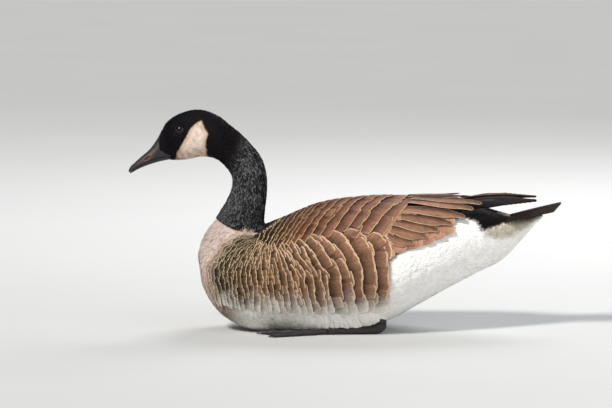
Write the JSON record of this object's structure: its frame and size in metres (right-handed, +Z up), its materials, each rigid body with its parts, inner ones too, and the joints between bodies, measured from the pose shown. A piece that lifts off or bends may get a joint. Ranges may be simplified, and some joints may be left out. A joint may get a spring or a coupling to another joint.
{
  "type": "canada goose model",
  "caption": "Life-size still model of a Canada goose at rest on its belly, black neck hooked forward over a buff breast, wings folded on the back, feet tucked under.",
  "frame": {"origin": "The middle of the bounding box in plan, at the level of the floor the belly rests on.", "axes": "The bird faces -X with its tail at +X. +Y is the bird's right side and -Y its left, the side the picture shows. +Z is up."},
  "size_m": [0.5622, 0.2039, 0.2867],
  "materials": {
    "black_plumage": "black feathers with a soft sheen",
    "white_plumage": "white feathers",
    "breast_plumage": "pale greyish buff feathers",
    "back_plumage": "dark brown feathers with pale edges",
    "flank_plumage": "brown feathers with buff edges",
    "wing_plumage": "brown feathers with pale edges",
    "flight_plumage": "blackish brown feathers",
    "bill_horn": "dark satin horn",
    "eye_surface": "wet dark eye",
    "web_skin": "blackish scaled skin"
  },
  "bodies": {
    "root": {"head": "black_plumage", "cheek_strap": "white_plumage", "bill_upper": "bill_horn", "bill_lower": "bill_horn", "eye_left": "eye_surface", "eye_right": "eye_surface", "neck_upper": "black_plumage", "neck_middle": "black_plumage", "neck_lower": "black_plumage", "breast": "breast_plumage", "back": "back_plumage", "flank_left": "flank_plumage", "flank_right": "flank_plumage", "belly": "white_plumage", "vent": "white_plumage", "rump": "black_plumage", "upper_tail_coverts": "white_plumage", "tail": "flight_plumage", "wing_left": "wing_plumage", "wing_right": "wing_plumage", "primaries_left": "flight_plumage", "primaries_right": "flight_plumage", "leg_left": "web_skin", "leg_right": "web_skin", "foot_left": "web_skin", "foot_right": "web_skin"}
  },
  "joints": []
}
